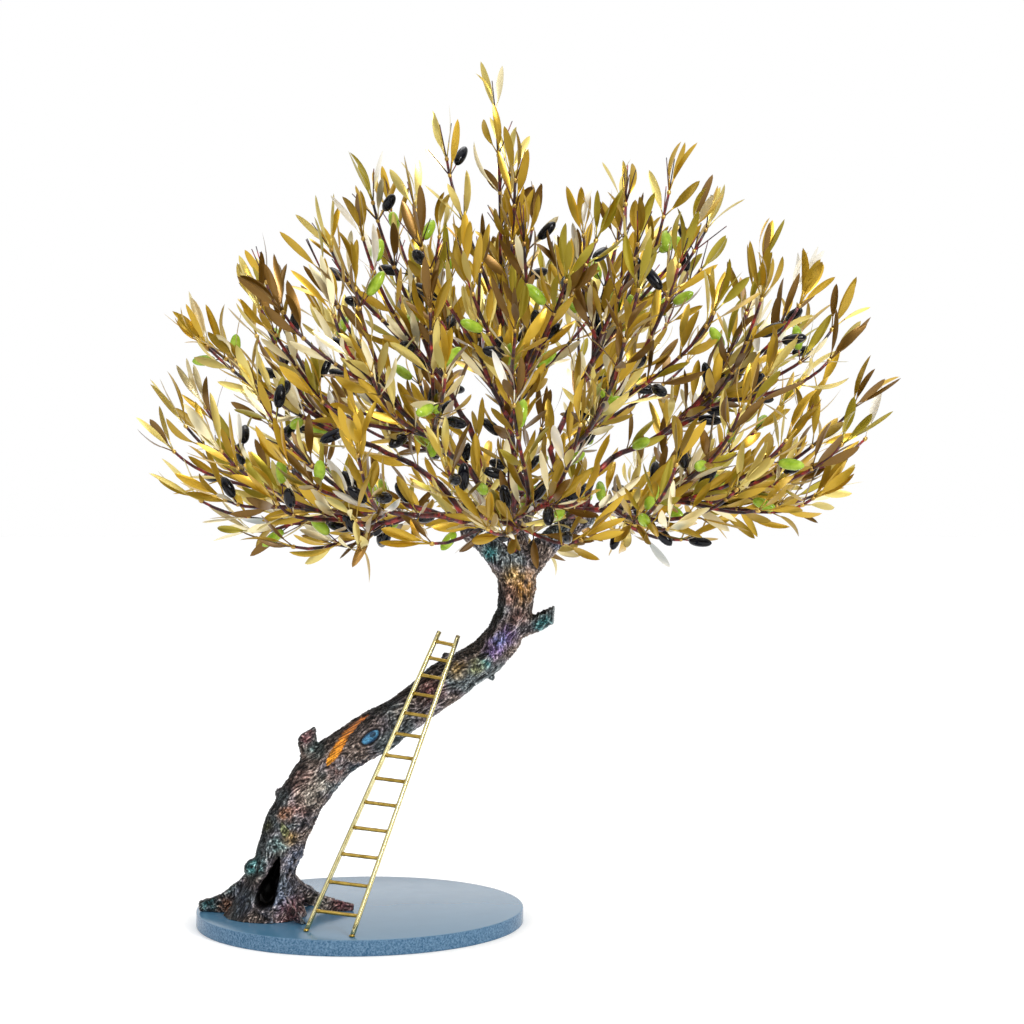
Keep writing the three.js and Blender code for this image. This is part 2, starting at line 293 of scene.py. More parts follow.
def brass_material(name, light, dark, low, high, dents=0.05 * MM):
    """Brass between two tones, with its roughness between low and high and dents of that depth."""
    s = Shading(name)
    s.set(Metallic=1.0)
    s.link(s.ramp(s.noise(110, 3), [(0.35, dark), (0.65, light)]), s.shader.inputs["Base Color"])
    s.link(s.range(s.noise(500, 2), low, high), s.shader.inputs["Roughness"])
    s.bump(s.noise(900, 2), dents, 0.4)
    return s.material


def fruit_material(name, low, high):
    """A lacquered olive."""
    s = Shading(name)
    s.set(Specular_IOR_Level=0.26)
    s.link(s.ramp(s.noise(130, 2), [(0.3, low), (0.7, high)]), s.shader.inputs["Base Color"])
    s.set(Roughness=0.06)
    return s.material


def plate_material(name, scale, low, high, specular):
    """Blued steel under clear lacquer, in patches of two tones."""
    s = Shading(name)
    s.set(Metallic=0.0, Coat_Weight=0.05, Coat_Roughness=0.1, Specular_IOR_Level=specular)
    s.link(s.ramp(s.noise(scale, 4, 0.6), [(0.35, low), (0.7, high)]), s.shader.inputs["Base Color"])
    s.link(s.range(s.noise(60, 6, 0.7), 0.16, 0.26), s.shader.inputs["Roughness"])
    s.bump(s.noise(1100, 2), 0.005 * MM, 0.1)
    return s.material


# ---- Mesh helpers ----
class Builder:
    """Collects vertices and faces of many small shapes into one mesh piece."""

    def __init__(self):
        self.vertices = []
        self.faces = []

    def add(self, vertices, faces):
        first = len(self.vertices)
        self.vertices.extend(vertices)
        self.faces.extend([tuple(first + i for i in face) for face in faces])

    def piece(self, name, material, slot, replaced=()):
        mesh = bpy.data.meshes.new(name)
        mesh.from_pydata([tuple(v) for v in self.vertices], [], self.faces)
        mesh.validate()
        mesh.shade_smooth()
        mesh.materials.append(material)
        return place(name, mesh, slot, replaced)


def place(name, mesh, slot, replaced=()):
    """Adds the mesh as a piece that rides on the one body, and hides those CAD nodes. slot is not used."""
    piece = bpy.data.objects.new(name, mesh)
    bpy.context.scene.collection.objects.link(piece)
    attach(piece, "root")
    if replaced:
        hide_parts(*replaced)
    return piece


def frames_along(points):
    """Unit tangents and two crosswise directions at each point, turned as little as possible."""
    count = len(points)
    tangents = []
    for i in range(count):
        step = points[min(i + 1, count - 1)] - points[max(i - 1, 0)]
        tangents.append(step.normalized())
    side = tangents[0].orthogonal().normalized()
    out = []
    for tangent in tangents:
        side = (side - tangent * side.dot(tangent)).normalized()
        out.append((tangent, side, tangent.cross(side)))
    return out


def tube(builder, points, radii, sides=6, square=False):
    """A closed tube along the points, round, or square with soft edges."""
    corners = []
    for k in range(sides):
        angle = 2 * math.pi * (k + 0.5) / sides
        c, s = math.cos(angle), math.sin(angle)
        stretch = 1.0
        if square:
            stretch = 1 / (abs(c) ** 6 + abs(s) ** 6) ** (1 / 6)
        corners.append((c * stretch, s * stretch))
    vertices = []
    for point, radius, (_, side, over) in zip(points, radii, frames_along(points)):
        vertices += [point + side * (radius * c) + over * (radius * s) for c, s in corners]
    faces = []
    for ring in range(len(points) - 1):
        a, b = ring * sides, (ring + 1) * sides
        faces += [(a + k, a + (k + 1) % sides, b + (k + 1) % sides, b + k) for k in range(sides)]
    last = len(points) - 1
    faces.append(tuple(range(sides))[::-1])
    faces.append(tuple(last * sides + k for k in range(sides)))
    builder.add(vertices, faces)


def unit_ball(divisions):
    bm = bmesh.new()
    bmesh.ops.create_icosphere(bm, subdivisions=divisions, radius=1)
    vertices = [v.co.copy() for v in bm.verts]
    faces = [tuple(v.index for v in face.verts) for face in bm.faces]
    bm.free()
    return vertices, faces


BALL = unit_ball(2)


def blob(builder, centre, axis, length, width, rng):
    """A lump of solder: an uneven ball, stretched along axis."""
    turn = axis.to_track_quat("Z", "Y").to_matrix()
    vertices, faces = BALL
    seed = Vector((rng.random(), rng.random(), rng.random())) * 50
    placed = []
    for v in vertices:
        swell = 1 + 0.22 * noise.noise(v * 1.4 + seed)
        placed.append(centre + turn @ Vector((v.x * width, v.y * width, v.z * length)) * swell)
    builder.add(placed, faces)


def hermite(a, b, lead, trail, count):
    """count + 1 points from a to b that leave along lead and arrive along trail."""
    reach = (b - a).length
    lead, trail = lead.normalized() * reach, trail.normalized() * reach
    points = []
    for i in range(count + 1):
        t = i / count
        h00 = 2 * t**3 - 3 * t**2 + 1
        h10 = t**3 - 2 * t**2 + t
        h01 = -2 * t**3 + 3 * t**2
        h11 = t**3 - t**2
        points.append(a * h00 + lead * h10 + b * h01 + trail * h11)
    return points


def smoothstep(x, low, high):
    t = np.clip((x - low) / (high - low), 0, 1)
    return t * t * (3 - 2 * t)


def end_middles(name, axis):
    """The middles of a straight CAD rod's two end faces, the lower along that axis first."""
    points = [v.co.copy() for v in NODES[name].data.vertices]
    low = min(points, key=lambda p: p[axis])
    high = max(points, key=lambda p: p[axis])
    way = (high - low).normalized()
    spans = [p.dot(way) for p in points]
    ends = []
    for limit in (min(spans), max(spans)):
        ring = [p for p, s in zip(points, spans) if abs(s - limit) < MM]
        ends.append(sum(ring, Vector()) / len(ring))
    return ends


# ---- Plate ----
PLATE_SEGMENTS = 192
RIM_BEVEL = 0.9 * MM
BEVEL_STEPS = 4


def make_plate():
    low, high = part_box("base_plate")
    radius = (high.x - low.x) / 2
    height = high.z - low.z
    profile = [(0.0, 0.0)]
    for corner in (0, 1):
        for i in range(BEVEL_STEPS + 1):
            angle = math.pi / 2 * (corner - 1 + i / BEVEL_STEPS)
            middle = (radius - RIM_BEVEL, height - RIM_BEVEL if corner else RIM_BEVEL)
            profile.append((middle[0] + RIM_BEVEL * math.cos(angle), middle[1] + RIM_BEVEL * math.sin(angle)))
    profile.append((0.0, height))
    bm = bmesh.new()
    line = [bm.verts.new((x, 0, z)) for x, z in profile]
    edges = [bm.edges.new(pair) for pair in zip(line, line[1:])]
    bmesh.ops.spin(
        bm, geom=line + edges, cent=(0, 0, 0), axis=(0, 0, 1), angle=2 * math.pi, steps=PLATE_SEGMENTS
    )
    bmesh.ops.remove_doubles(bm, verts=bm.verts, dist=1e-6)
    bmesh.ops.recalc_face_normals(bm, faces=bm.faces)
    mesh = bpy.data.meshes.new("base")
    bm.to_mesh(mesh)
    bm.free()
    mesh.transform(Matrix.Translation(((low.x + high.x) / 2, (low.y + high.y) / 2, low.z)))
    mesh.shade_smooth()
    mesh.set_sharp_from_angle(angle=math.radians(35))
    mesh.materials.append(plate_material("blued_top", 9, (0.055, 0.155, 0.26), (0.075, 0.185, 0.30), 0.5))
    mesh.materials.append(plate_material("blued_side", 700, (0.03, 0.09, 0.17), (0.15, 0.255, 0.37), 0.06))
    for face in mesh.polygons:
        face.material_index = 0 if face.normal.z > 0.6 else 1
    place("base", mesh, "plate", ["base_plate"])


# ---- Ladder ----
RUNG_COUNT = 13
RAIL_HALF = 1.5 * MM
RUNG_RADIUS = 1.45 * MM


def make_ladder():
    rng = random.Random(3)
    rails, rungs, joints = Builder(), Builder(), Builder()
    ends = {}
    for side in ("left", "right"):
        foot, top = end_middles(f"ladder_rail_{side}", 2)
        ends[side] = (foot, top)
        steps = 24
        points = [foot.lerp(top, i / steps) for i in range(steps + 1)]
        tube(rails, points, [RAIL_HALF] * len(points), 16, square=True)
        blob(joints, foot + UP * 0.6 * MM, UP, 1.3 * MM, 2.3 * MM, rng)
    for i in range(1, RUNG_COUNT + 1):
        left, right = end_middles(f"ladder_rung_{i:02d}", 0)
        across = (right - left).normalized()
        start, stop = left - across * RAIL_HALF, right + across * RAIL_HALF
        steps = 8
        points = [start.lerp(stop, k / steps) for k in range(steps + 1)]
        radii = [RUNG_RADIUS * (1 + 0.06 * math.sin(2.1 * k + i)) for k in range(steps + 1)]
        tube(rungs, points, radii, 12)
        for point, inward in ((left, across), (right, -across)):
            blob(joints, point + inward * 0.6 * MM, across, 1.5 * MM, 1.75 * MM, rng)
    bright = brass_material("brass_rail", (0.66, 0.60, 0.34), (0.57, 0.50, 0.23), 0.16, 0.2, 0)
    dark = brass_material("brass_rung", (0.46, 0.32, 0.08), (0.28, 0.18, 0.03), 0.22, 0.36)
    rails.piece("ladder_rails", bright, "ladder", ["ladder_rail_left", "ladder_rail_right"])
    rungs.piece(
        "ladder_rungs", dark, "ladder", [f"ladder_rung_{i:02d}" for i in range(1, RUNG_COUNT + 1)]
    )
    joints.piece("ladder_solder", dark, "ladder")


# ---- Trunk and limbs ----
BARK_NODES = ["trunk", "limb_left", "limb_right", "limb_back"]
BARK_VOXEL = 0.6 * MM
SOFTENING = 26  # passes that round the CAD model's facets off
LIMB_SWELL = 0.7 * MM  # closes the gaps between the limbs and the trunk
BARK_CUTS = (70, 140, 215)  # heights at which the bark is cut into pieces, in millimetres
BARK_PIECES = ["bark_foot", "bark_bend", "bark_lean", "bark_neck"]
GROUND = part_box("base_plate")[1].z

# Marks on the trunk's front, by X and Z in millimetres. The blue eye's half sizes and tilt:
EYE = (10.6, 151.2)
EYE_TURN = math.radians(37)
EYE_HALF = (7.4, 4.3)
# The other knots that bark ridges run round: centre, half sizes, tilt and tint.
RINGED_KNOTS = [
    ((82.5, 200), (5.5, 4), 20, None),
    ((-56, 80), (3.2, 5.6), 8, (0.42, 0.46, 0.14)),
    ((-36, 106), (3.5, 4.5), -15, None),
    ((106, 194), (4, 3), 40, None),
]
RING_WANDER = 2.4  # how unevenly the rings run, in millimetres
# The orange scar, from its round lower end to its pointed top: places and half widths.
SCAR = [
    ((-22.6, 130.5), 1.8),
    ((-19.2, 136), 4.3),
    ((-15.5, 142), 4.4),
    ((-9.8, 153.0), 3.2),
    ((-2.6, 161.0), 2.4),
    ((7.6, 168), 0.9),
]
SCAR_DEPTH = 1.3
# The hollow at the trunk's foot, from its wide sill to its narrow top, and how deep it goes.
HOLLOW = [((-69, 29), 7.8), ((-67, 37), 7.2), ((-63.5, 46), 5.0), ((-61, 54), 3.0), ((-59.5, 60), 1.0)]
HOLLOW_DEPTH = 15
# Tints of the patina, and painted shade, and where they lie on the front: X, Z and radius in millimetres.
TEAL, AQUA, VIOLET, BLUE = (0.05, 0.42, 0.44), (0.36, 0.6, 0.6), (0.36, 0.24, 0.62), (0.3, 0.42, 0.95)
ROSE, OCHRE, ORANGE, CREAM = (0.62, 0.34, 0.3), (0.72, 0.46, 0.14), (1.0, 0.45, 0.02), (0.74, 0.66, 0.56)
MOSS, LIME, WINE, SLATE = (0.25, 0.27, 0.08), (0.62, 0.66, 0.3), (0.42, 0.12, 0.13), (0.26, 0.33, 0.5)
RUST, DARK_PATINA_AND_PAINTED_SHADE = (0.6, 0.24, 0.1), (0.085, 0.06, 0.05)
PATCHES = [
    (-34, 143, 8, AQUA),
    (-40, 152, 9, WINE),
    (-82, 53, 11, TEAL),
    (-47, 57, 11, SLATE),
    (-57, 28, 16, SLATE),
    (-60, 68, 8, AQUA),
    (-72, 84, 7, MOSS),
    (-46, 96, 10, ROSE),
    (-43, 116, 11, ROSE),
    (-36, 108, 11, CREAM),
    (-51, 74, 6, OCHRE),
    (-55, 92, 7, RUST),
    (-27, 116, 9, CREAM),
    (-16, 124, 9, ROSE),
    (-105, 19, 9, RUST),
    (-118, 20, 8, TEAL),
    (-88, 26, 9, SLATE),
    (-50, 19, 10, WINE),
    (-10, 18, 15, WINE),
    (-30, 20, 9, CREAM),
    (117, 229, 9, VIOLET),
    (109, 222, 9, VIOLET),
    (105, 218, 8, VIOLET),
    (111, 226, 6, BLUE),
    (99, 209, 6, TEAL),
    (93, 205, 7, LIME),
    (127, 268, 14, ORANGE),
    (122, 277, 9, OCHRE),
    (118, 262, 9, ROSE),
    (145, 239, 8, TEAL),
    (126, 244, 7, ROSE),
    (160, 302, 7, SLATE),
    (104, 294, 7, TEAL),
    (56, 186, 12, WINE),
    (78, 203, 8, OCHRE),
    (34, 168, 10, DARK_PATINA_AND_PAINTED_SHADE),
    (48, 177, 11, DARK_PATINA_AND_PAINTED_SHADE),
    # Painted shade: these dark patches run along the trunk's upper-left edges, the side turned from the
    # light.
    (110, 262, 8, DARK_PATINA_AND_PAINTED_SHADE),
    (103, 240, 10, DARK_PATINA_AND_PAINTED_SHADE),
    (84, 220, 9, DARK_PATINA_AND_PAINTED_SHADE),
    (62, 202, 10, DARK_PATINA_AND_PAINTED_SHADE),
    (40, 186, 11, DARK_PATINA_AND_PAINTED_SHADE),
    (16, 172, 8, DARK_PATINA_AND_PAINTED_SHADE),
    (-47, 146, 5, DARK_PATINA_AND_PAINTED_SHADE),
    (-66, 98, 6, DARK_PATINA_AND_PAINTED_SHADE),
    (-54, 122, 5, DARK_PATINA_AND_PAINTED_SHADE),
]
GROUND_TINTS = [(0.36, 0.27, 0.23), (0.33, 0.29, 0.32), (0.27, 0.32, 0.34)]
BACK_TINTS = [TEAL, AQUA, VIOLET, ROSE, OCHRE, CREAM, MOSS, RUST, SLATE]
PAINTED_GLINT = (0.9, 0.84, 0.76)
PAINTED_SHADE_SIDE = (-0.75, 0.1, 0.65)  # the way the painted shade faces: up and left
EYE_BLUE, EYE_RIM, EYE_PUPIL = (0.08, 0.25, 0.42), (0.014, 0.05, 0.11), (0.01, 0.015, 0.03)
EYE_MOAT = (0.006, 0.005, 0.006)
SCAR_GLOW, SCAR_TOP, SCAR_EDGE = (0.90, 0.36, 0.025), (0.50, 0.14, 0.03), (0.05, 0.02, 0.01)
HOLLOW_PAINTED_SHADE = (0.0012, 0.001, 0.001)
# Sizes of the bark's features, in millimetres.
WARP_SIZE, BROAD_SIZE, CREST_SIZE, FINE_SIZE = 8, 12, 3.2, 1.6
SQUEEZE = 0.42  # how much the way along the trunk is shortened, which draws the crests out lengthwise
ROOT_REACH = 1.35  # a ray longer than this share of the usual one runs into a root, a stub or a knot


def trace_trunk(step=5 * MM):
    """The trunk's centreline, felt out from its rounded top down to its foot by rays to its surface."""
    mesh = NODES["trunk"].data
    surface = BVHTree.FromPolygons([v.co for v in mesh.vertices], [p.vertices for p in mesh.polygons])
    top = max(v.co.z for v in mesh.vertices)
    cap = [v.co for v in mesh.vertices if v.co.z > top - 6 * MM]
    centre = sum(cap, Vector()) / len(cap) - UP * 10 * MM
    heading = -UP
    line = [centre.copy()]
    while centre.z > GROUND + 6 * MM:
        side = heading.orthogonal().normalized()
        over = heading.cross(side)
        hits = []
        for k in range(24):
            angle = 2 * math.pi * k / 24
            way = side * math.cos(angle) + over * math.sin(angle)
            hit, _, _, distance = surface.ray_cast(centre, way)
            if hit:
                hits.append((distance, hit))
        usual = sorted(d for d, _ in hits)[len(hits) // 2]
        close = [h for d, h in hits if d < ROOT_REACH * usual]
        centred = sum(close, Vector()) / len(close)
        centre = centre.lerp(centred, 0.6)
        line.append(centre.copy())
        if len(line) > 4:
            heading = heading.lerp((line[-1] - line[-5]).normalized(), 0.5).normalized()
        centre = centre + heading * step
    return line[1:]


TRUNK_LINE = trace_trunk()


def bark_shape():
    """Trunk and limbs fused into one even mesh, with the CAD facets smoothed away."""
    bm = bmesh.new()
    for name in BARK_NODES:
        part = bmesh.new()
        part.from_mesh(NODES[name].data)
        bmesh.ops.remove_doubles(part, verts=part.verts, dist=1e-6)
        part.normal_update()
        if name != "trunk":
            for vertex in part.verts:
                vertex.co += vertex.normal * LIMB_SWELL
        mesh = bpy.data.meshes.new("part")
        part.to_mesh(mesh)
        part.free()
        bm.from_mesh(mesh)
        bpy.data.meshes.remove(mesh)
    mesh = bpy.data.meshes.new("bark")
    bm.to_mesh(mesh)
    bm.free()
    shape = bpy.data.objects.new("bark_shape", mesh)
    bpy.context.scene.collection.objects.link(shape)
    remesh = shape.modifiers.new("even", "REMESH")
    remesh.mode = "VOXEL"
    remesh.voxel_size = BARK_VOXEL
    soften = shape.modifiers.new("soft", "SMOOTH")
    soften.factor = 0.5
    soften.iterations = SOFTENING
    graph = bpy.context.evaluated_depsgraph_get()
    made = bpy.data.meshes.new_from_object(shape.evaluated_get(graph))
    bpy.data.objects.remove(shape)
    made.name = "bark"
    return made


def noise_at(points, size, shift=0.0):
    """Smooth noise at points given in millimetres, with features of that size."""
    move = Vector((shift, 0.7 * shift, -shift))
    return np.array([noise.noise(Vector(p) / size + move) for p in points])


def ridges_at(points, size, shift=0.0):
    """Winding crests: 1 along thin lines, falling to 0 between them."""
    return 1 - np.minimum(1, np.abs(2.6 * noise_at(points, size, shift)))


def limb_frame(points):
    """For each point, in millimetres: offsets across the trunk, the way along it, and its centre's Y."""
    frames = frames_along(TRUNK_LINE)
    lengths = [0.0]
    for a, b in zip(TRUNK_LINE, TRUNK_LINE[1:]):
        lengths.append(lengths[-1] + (b - a).length)
    tree = KDTree(len(TRUNK_LINE))
    for i, centre in enumerate(TRUNK_LINE):
        tree.insert(centre, i)
    tree.balance()
    across = np.empty((len(points), 3))
    centre_y = np.empty(len(points))
    for i, p in enumerate(points):
        centre, k, _ = tree.find(Vector(p) * MM)
        tangent, side, over = frames[k]
        offset = Vector(p) * MM - centre
        across[i] = (offset.dot(side), offset.dot(over), lengths[k] + offset.dot(tangent))
        centre_y[i] = centre.y
    return across / MM, centre_y / MM


def inside_stroke(x, z, stroke):
    """How far inside a stroke of varying width: 1 on its line, 0 at its edge; and how far along it."""
    best, share = np.full(len(x), -9.0), np.zeros(len(x))
    pieces = len(stroke) - 1
    for i in range(pieces):
        (ax, az), a_half = stroke[i]
        (bx, bz), b_half = stroke[i + 1]
        dx, dz = bx - ax, bz - az
        t = np.clip(((x - ax) * dx + (z - az) * dz) / (dx * dx + dz * dz), 0, 1)
        half = a_half + (b_half - a_half) * t
        inside = 1 - np.hypot(x - ax - dx * t, z - az - dz * t) / half
        nearer = inside > best
        best = np.where(nearer, inside, best)
        share = np.where(nearer, (i + t) / pieces, share)
    return best, share


def ellipse_distance(x, z, centre, half, turn):
    """0 at an ellipse's centre and 1 on its outline, with the offsets along and across it."""
    dx, dz = x - centre[0], z - centre[1]
    u = (dx * math.cos(turn) + dz * math.sin(turn)) / half[0]
    v = (dz * math.cos(turn) - dx * math.sin(turn)) / half[1]
    return np.hypot(u, v), u, v


def back_patches(rng):
    """Patches for the sides that face away, dealt out along the trunk, in millimetres."""
    found = []
    for point in TRUNK_LINE[::3]:
        angle = rng.uniform(0.1, 0.9) * math.pi
        offset = Vector((math.cos(angle), math.sin(angle), rng.uniform(-0.5, 0.5))) * 17
        found.append((point / MM + offset, rng.uniform(6, 11), rng.choice(BACK_TINTS)))
    return found


def blend(a, b, share):
    return a + (np.asarray(b) - a) * np.asarray(share)[..., None]


def ground_colour(points, facing):
    """The patina's slow changes of tint and its patches, some of them painted shade, before crests and
    hollows shade it.
    """
    slow = noise_at(points, 26)
    mottle = 0.75 + 0.7 * noise_at(points, 5, 3)
    tint = blend(np.tile(GROUND_TINTS[1], (len(points), 1)), GROUND_TINTS[0], np.clip(slow * 4, 0, 1))
    tint = blend(tint, GROUND_TINTS[2], np.clip(-slow * 4, 0, 1))
    for x, z, radius, colour in PATCHES:
        away = np.hypot(points[:, 0] - x, points[:, 2] - z) / radius
        tint = blend(tint, colour, np.clip((1.3 - away) * mottle, 0, 0.8) * facing)
    for centre, radius, colour in back_patches(random.Random(11)):
        away = np.linalg.norm(points - np.array(centre), axis=1) / radius
        tint = blend(tint, colour, np.clip((1.4 - away) * mottle, 0, 0.8))
    return tint


class Bark:
    """The bark's height and colour at each vertex of a mesh. Lengths are in millimetres."""

    def __init__(self, mesh):
        flat = np.zeros(len(mesh.vertices) * 3, np.float32)
        mesh.vertices.foreach_get("co", flat)
        self.points = flat.reshape(-1, 3).astype(float) / MM
        mesh.vertex_normals.foreach_get("vector", flat)
        self.normals = flat.reshape(-1, 3).astype(float)
        self.x, self.z = self.points[:, 0], self.points[:, 2]
        self.across, centre_y = limb_frame(self.points)
        self.near = self.points[:, 1] < centre_y
        self.front = smoothstep(-self.normals[:, 1], 0.05, 0.3) * self.near
        self.raise_crests()
        self.tint = ground_colour(self.points, smoothstep(-self.normals[:, 1], -0.25, 0.2))
        self.bend_round_knots()
        self.lay_patina_and_painted_light()
        self.cut_eye()
        self.cut_scar()
        self.open_hollow()

    def raise_crests(self):
        """Crests run lengthwise, as the way along the trunk is squeezed, and wander with the warp."""
        grain = self.across * np.array((1, 1, SQUEEZE))
        self.warp = np.stack([noise_at(grain, WARP_SIZE, shift) for shift in (0, 7, 13)], axis=1) * 4
        self.broad = noise_at(grain, BROAD_SIZE, 2)
        crest = ridges_at(grain + self.warp, CREST_SIZE)
        self.fine = ridges_at(grain + self.warp * 1.3, FINE_SIZE, 4)
        self.crumb = noise_at(self.points, FINE_SIZE)
        self.relief = np.clip(0.40 * crest + 0.40 * self.fine + 0.2 * (0.5 + self.crumb), 0, 1)
        self.height = 1.1 * self.broad + 1.3 * (crest - 0.75) + 0.8 * (self.fine - 0.75) + 0.4 * self.crumb

    def bend_round_knots(self):
        """Rings of ridges round the eye and the other knots."""
        bent_x = self.x + RING_WANDER * self.broad
        bent_z = self.z + RING_WANDER * self.warp[:, 0] / 4
        knots = [(EYE, EYE_HALF, EYE_TURN, None, 1.0)]
        knots += [(centre, half, math.radians(turn), tone, 0.7) for centre, half, turn, tone in RINGED_KNOTS]
        for centre, half, turn, tone, strength in knots:
            away, _, _ = ellipse_distance(bent_x, bent_z, centre, half, turn)
            share = smoothstep(2.9 - away, 0, 1.6) * self.front * strength
            ring = 0.6 * np.cos(away * 9)
            self.height = self.height * (1 - 0.7 * share) + ring * share
            ringed = np.clip(0.42 + 0.5 * ring + 0.3 * self.crumb, 0, 1)
            self.relief = self.relief * (1 - 0.45 * share) + ringed * 0.45 * share
            if tone:
                self.tint = blend(self.tint, tone, 0.7 * smoothstep(1.2 - away, 0, 0.5) * self.front)

    def lay_patina_and_painted_light(self):
        """Hollows partly patina, partly painted shade; tinted crests with a painted highlight; painted shade
        up-left.
        """
        # Darker in the relief's hollows and lighter on its crests: partly the bronze's own, partly painted
        # shade and painted highlight.
        self.colour = self.tint * (0.022 + 1.75 * self.relief**2.7)[:, None]
        # Painted highlight: the highest crests are turned pale, as if catching the light.
        painted_glint = blend(self.tint * 1.6, PAINTED_GLINT, 0.55)
        self.colour = blend(self.colour, painted_glint, 0.6 * smoothstep(self.relief, 0.66, 0.9))
        # Painted shade: the side that faces up and left is darkened in colour, as if turned from the light.
        painted_shade = smoothstep(self.normals @ np.array(PAINTED_SHADE_SIDE), 0.15, 0.8)
        painted_shade = painted_shade * smoothstep(-self.normals[:, 1], -0.4, 0.1)
        self.colour = self.colour * (1 - 0.84 * painted_shade)[:, None]

    def cut_eye(self):
        """A domed blue eye with a pupil, in a narrow dark moat."""
        away, u, v = ellipse_distance(self.x, self.z, EYE, EYE_HALF, EYE_TURN)
        eye = smoothstep(1.04 - away, 0, 0.06) * self.front
        self.height = self.height * (1 - eye) + (1.0 - 1.5 * away**2) * eye
        blue = blend(np.tile(EYE_BLUE, (len(away), 1)), EYE_RIM, smoothstep(np.abs(v), 0.1, 0.85))
        pupil = smoothstep(0.55 - np.hypot((u - 0.35) * 1.2, v - 0.15), 0, 0.2)
        blue = blend(blue, EYE_PUPIL, 0.85 * pupil) * (0.75 + 0.5 * self.fine)[:, None]
        self.colour = blend(self.colour, blue, eye)
        moat = np.exp(-(((away - 1.15) / 0.11) ** 2)) * self.front
        self.height -= 1.0 * moat
        self.colour = blend(self.colour, EYE_MOAT, 0.9 * moat)

    def cut_scar(self):
        """A sunken orange scar with a raised lip."""
        inside, along = inside_stroke(self.x + 0.9 * self.crumb, self.z + 0.9 * self.broad, SCAR)
        scar = smoothstep(inside, -0.1, 0.3) * self.front
        self.height = self.height * (1 - scar) - SCAR_DEPTH * scar
        self.height += 0.8 * np.exp(-(((inside + 0.25) / 0.2) ** 2)) * self.front
        glow = blend(np.tile(SCAR_GLOW, (len(along), 1)), SCAR_TOP, along)
        streak = noise_at(self.across * np.array((1, 1, 0.12)), 1.3, 9)
        glow = glow * np.clip(0.75 + 2.2 * streak, 0.25, 1.5)[:, None]
        glow = blend(glow, SCAR_EDGE, 0.85 * smoothstep(0.5 - inside, 0, 0.5))
        self.colour = blend(self.colour, glow, scar)

    def open_hollow(self):
        """A hollow painted black as shade, with a raised lip. Its floor is pushed back when the mesh is
        moved.
        """
        inside, _ = inside_stroke(self.x + 2.2 * self.broad, self.z + 1.5 * self.crumb, HOLLOW)
        self.cave = smoothstep(inside, 0.0, 0.4) * self.near
        lip = 1.6 * np.exp(-(((inside + 0.2) / 0.2) ** 2)) * self.front
        self.height = self.height * (1 - self.cave) + lip
        # Painted shade: the hollow's inside is coloured near-black.
        self.colour = blend(self.colour, HOLLOW_PAINTED_SHADE, smoothstep(inside, -0.05, 0.25) * self.near)

    def carve(self, mesh):
        """Moves each vertex out or in by the relief and stores the bronze's colour, with its painted shade
        and highlights, on it.
        """
        keep = smoothstep(self.z, GROUND / MM + 0.3, GROUND / MM + 5)
        points = self.points + self.normals * ((self.height * 0.85 - 0.4) * keep)[:, None]
        points[:, 1] += HOLLOW_DEPTH * self.cave
        mesh.vertices.foreach_set("co", (points * MM).astype(np.float32).ravel())
        layer = mesh.color_attributes.new("patina_and_painted_light", "FLOAT_COLOR", "POINT")
        stored = np.ones((len(points), 4), np.float32)
        stored[:, :3] = np.clip(self.colour, 0.001, 1)
        layer.data.foreach_set("color", stored.ravel())
        mesh.update()


def bark_slice(mesh, name, low, high):
    """The bark between two heights, closed by flat caps where it is cut."""
    bm = bmesh.new()
    bm.from_mesh(mesh)
    for height, up in ((low, -1), (high, 1)):
        if height is None:
            continue
        geometry = bm.verts[:] + bm.edges[:] + bm.faces[:]
        cut = bmesh.ops.bisect_plane(
            bm, geom=geometry, plane_co=(0, 0, height * MM), plane_no=(0, 0, up), clear_outer=True
        )
        rim = [e for e in cut["geom_cut"] if isinstance(e, bmesh.types.BMEdge) and e.is_boundary]
        bmesh.ops.holes_fill(bm, edges=rim)
        for edge in rim:
            edge.smooth = False
    part = bpy.data.meshes.new(name)
    bm.to_mesh(part)
    bm.free()
    part.materials.append(bark_material())
    return part


def make_bark():
    mesh = bark_shape()
    Bark(mesh).carve(mesh)
    mesh.shade_smooth()
    for name, low, high in zip(BARK_PIECES, (None, *BARK_CUTS), (*BARK_CUTS, None)):
        part = bark_slice(mesh, name, low, high)
        place(name, part, "bark", BARK_NODES)
    bpy.data.meshes.remove(mesh)


# ---- Crown: wires, leaves and fruit ----
LEAF_TINTS = {
    "gold": ((0.50, 0.31, 0.016), 25),
    "olive": ((0.36, 0.225, 0.010), 22),
    "moss": ((0.34, 0.27, 0.015), 10),
    "straw": ((0.66, 0.53, 0.15), 15),
    # Painted highlight: the two palest tints colour leaves as if they reflected the light.
    "champagne": ((0.82, 0.72, 0.44), 9),
    "umber": ((0.16, 0.078, 0.005), 16),
    "pearl": ((0.88, 0.84, 0.74), 4),
}
TIP_SPACING = 49 * MM  # least distance between the ends of two wands
OUTER_SHARE = 0.62  # no wand ends on a mass's surface nearer to the heart than this share of its reach
TIP_INSET = (6 * MM, 22 * MM)  # how far inside the crown's surface a wand that points outwards ends
RISE_INSET = 20 * MM  # and how much further one that points straight up does, as leaves crown it
CROWN_REACH = (222 * MM, 314 * MM)  # from the heart to the crown's surface, low down and higher up
CROWN_LEAN = 0.05  # how much further it reaches to the right, and less to the left
CROWN_DEPTH = 0.84  # front-to-back share of that reach
ROUNDING = 0.75  # how far a wand's end is moved from its mass's surface to the crown's
LOWEST_TIP = (292 * MM, 302 * MM)  # wands end no lower
NODE_SPACING = (29 * MM, 41 * MM)
BOUGH_RADII = (2.9 * MM, 2.3 * MM)
WIRE_TIP = 1.1 * MM
STALK_LENGTH = (6 * MM, 11 * MM)
